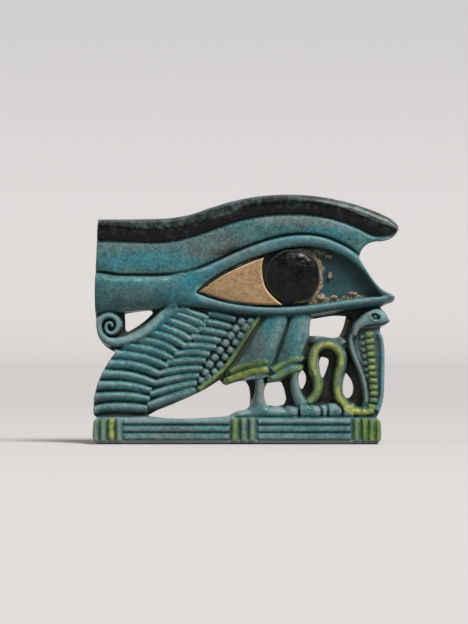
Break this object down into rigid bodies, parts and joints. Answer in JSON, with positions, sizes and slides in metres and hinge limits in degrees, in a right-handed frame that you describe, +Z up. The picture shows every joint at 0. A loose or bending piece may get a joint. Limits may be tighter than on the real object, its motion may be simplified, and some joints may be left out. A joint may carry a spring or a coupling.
{
  "type": "wedjat eye amulet",
  "caption": "Pierced plaque shaped as an inlaid eye under a long brow, over a wing, bird's legs, a coiled cheek mark and a rearing cobra, on a bar of bound reeds.",
  "frame": {"origin": "level with the two ends of the reed bar that it stands on, at the middle of the overall width and depth", "axes": "+Z up, from the reed bar to the brow; +X to the viewer's right, towards the cobra; the modelled front faces -Y and the flat back +Y"},
  "size_m": [0.068, 0.0082, 0.0555],
  "materials": {
    "faience": "worn satin glaze, blue-green with black brow and yellow-green details",
    "white_stone": "aged tan aragonite, smooth with a light bevelled edge",
    "dark_stone": "polished black volcanic glass, slightly mottled",
    "mortar": "matt lime mortar"
  },
  "bodies": {
    "root": {"faience_plaque": "faience", "white_inlay": "white_stone", "white_inlay_bed": "mortar", "iris_inlay": "dark_stone", "iris_bed": "mortar", "mortar_crumb_by_iris": "mortar", "mortar_crumb_lower_lid": "mortar", "mortar_crumb_canthus": "mortar", "mortar_crumb_upper_lid": "mortar", "mortar_crumb_with_pit": "mortar"}
  },
  "joints": []
}
